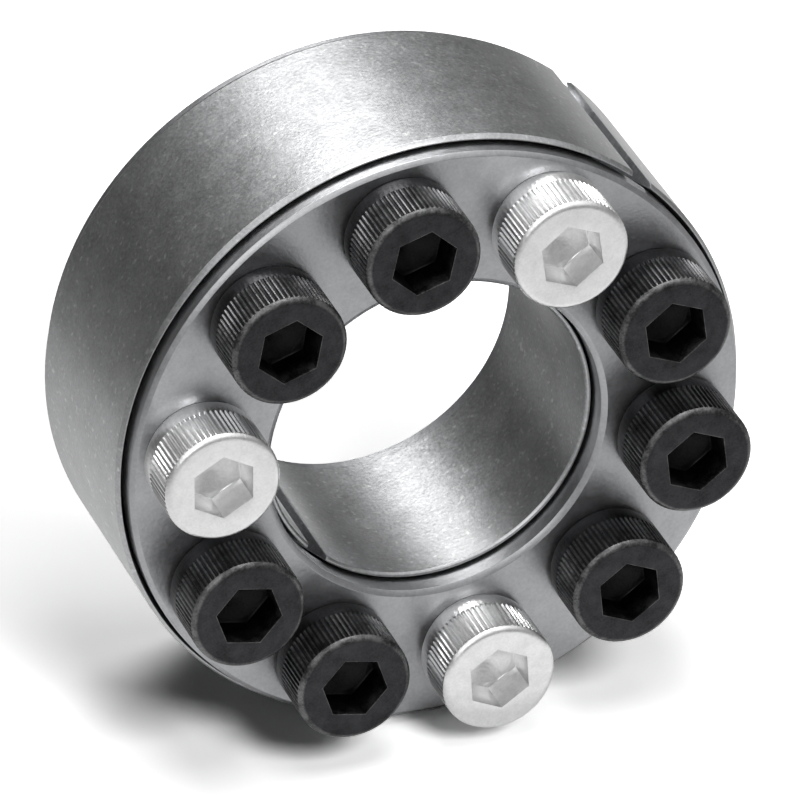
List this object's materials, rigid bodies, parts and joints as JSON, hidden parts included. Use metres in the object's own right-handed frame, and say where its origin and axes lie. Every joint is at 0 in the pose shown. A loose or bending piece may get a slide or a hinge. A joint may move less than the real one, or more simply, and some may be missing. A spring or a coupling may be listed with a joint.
{
  "type": "shaft locking assembly",
  "caption": "Keyless bushing of split tapered rings between two thrust rings, drawn together by socket-head screws to clamp a hub on a shaft.",
  "frame": {"origin": "centre of the rear thrust ring's flat rear face, on the surface that the assembly stands on", "axes": "+Z along the shaft, from the rear face to the screw heads; +X through the first screw"},
  "size_m": [0.055, 0.055, 0.028],
  "materials": {
    "thrust_steel": "satin machined steel, lightly oiled",
    "split_ring_steel": "fine ground steel",
    "black_screw": "black oxide",
    "zinc_screw": "bright zinc plating"
  },
  "bodies": {
    "rear_ring": {"rear_thrust_ring": "thrust_steel"},
    "front_ring": {"front_thrust_ring": "thrust_steel"},
    "outer_split_ring": {"outer_ring": "split_ring_steel"},
    "inner_split_ring": {"inner_ring": "split_ring_steel"},
    "screw_1_body": {"screw_1": "black_screw"},
    "screw_2_body": {"screw_2": "black_screw"},
    "screw_3_body": {"screw_3": "zinc_screw"},
    "screw_4_body": {"screw_4": "black_screw"},
    "screw_5_body": {"screw_5": "black_screw"},
    "screw_6_body": {"screw_6": "black_screw"},
    "screw_7_body": {"screw_7": "zinc_screw"},
    "screw_8_body": {"screw_8": "black_screw"},
    "screw_9_body": {"screw_9": "black_screw"},
    "screw_10_body": {"screw_10": "zinc_screw"}
  },
  "joints": [
    {"name": "front_ring_travel", "type": "slide", "parent": "rear_ring", "child": "front_ring", "axis": [0, 0, 1], "range_m": [-0.001, 0.001]},
    {"name": "outer_ring_travel", "type": "slide", "parent": "rear_ring", "child": "outer_split_ring", "axis": [0, 0, 1], "range_m": [-0.0005, 0.0005]},
    {"name": "inner_ring_travel", "type": "slide", "parent": "rear_ring", "child": "inner_split_ring", "axis": [0, 0, 1], "range_m": [-0.0005, 0.0005]},
    {"name": "screw_1_turn", "type": "hinge", "parent": "front_ring", "child": "screw_1_body", "pos_m": [0.02105, 0, 0.022], "axis": [0, 0, 1], "range_deg": [-360, 360]},
    {"name": "screw_2_turn", "type": "hinge", "parent": "front_ring", "child": "screw_2_body", "pos_m": [0.01703, 0.01237, 0.022], "axis": [0, 0, 1], "range_deg": [-360, 360]},
    {"name": "screw_3_turn", "type": "hinge", "parent": "front_ring", "child": "screw_3_body", "pos_m": [0.0065, 0.02002, 0.022], "axis": [0, 0, 1], "range_deg": [-360, 360]},
    {"name": "screw_4_turn", "type": "hinge", "parent": "front_ring", "child": "screw_4_body", "pos_m": [-0.0065, 0.02002, 0.022], "axis": [0, 0, 1], "range_deg": [-360, 360]},
    {"name": "screw_5_turn", "type": "hinge", "parent": "front_ring", "child": "screw_5_body", "pos_m": [-0.01703, 0.01237, 0.022], "axis": [0, 0, 1], "range_deg": [-360, 360]},
    {"name": "screw_6_turn", "type": "hinge", "parent": "front_ring", "child": "screw_6_body", "pos_m": [-0.02105, 0, 0.022], "axis": [0, 0, 1], "range_deg": [-360, 360]},
    {"name": "screw_7_turn", "type": "hinge", "parent": "front_ring", "child": "screw_7_body", "pos_m": [-0.01703, -0.01237, 0.022], "axis": [0, 0, 1], "range_deg": [-360, 360]},
    {"name": "screw_8_turn", "type": "hinge", "parent": "front_ring", "child": "screw_8_body", "pos_m": [-0.0065, -0.02002, 0.022], "axis": [0, 0, 1], "range_deg": [-360, 360]},
    {"name": "screw_9_turn", "type": "hinge", "parent": "front_ring", "child": "screw_9_body", "pos_m": [0.0065, -0.02002, 0.022], "axis": [0, 0, 1], "range_deg": [-360, 360]},
    {"name": "screw_10_turn", "type": "hinge", "parent": "front_ring", "child": "screw_10_body", "pos_m": [0.01703, -0.01237, 0.022], "axis": [0, 0, 1], "range_deg": [-360, 360]}
  ],
  "couplings": [
    {"joint": "outer_ring_travel", "follows": "front_ring_travel", "ratio": 0.5},
    {"joint": "inner_ring_travel", "follows": "front_ring_travel", "ratio": 0.5},
    {"joint": "screw_1_turn", "follows": "front_ring_travel", "rad_per_m": 6283},
    {"joint": "screw_2_turn", "follows": "front_ring_travel", "rad_per_m": 6283},
    {"joint": "screw_3_turn", "follows": "front_ring_travel", "rad_per_m": 6283},
    {"joint": "screw_4_turn", "follows": "front_ring_travel", "rad_per_m": 6283},
    {"joint": "screw_5_turn", "follows": "front_ring_travel", "rad_per_m": 6283},
    {"joint": "screw_6_turn", "follows": "front_ring_travel", "rad_per_m": 6283},
    {"joint": "screw_7_turn", "follows": "front_ring_travel", "rad_per_m": 6283},
    {"joint": "screw_8_turn", "follows": "front_ring_travel", "rad_per_m": 6283},
    {"joint": "screw_9_turn", "follows": "front_ring_travel", "rad_per_m": 6283},
    {"joint": "screw_10_turn", "follows": "front_ring_travel", "rad_per_m": 6283}
  ]
}
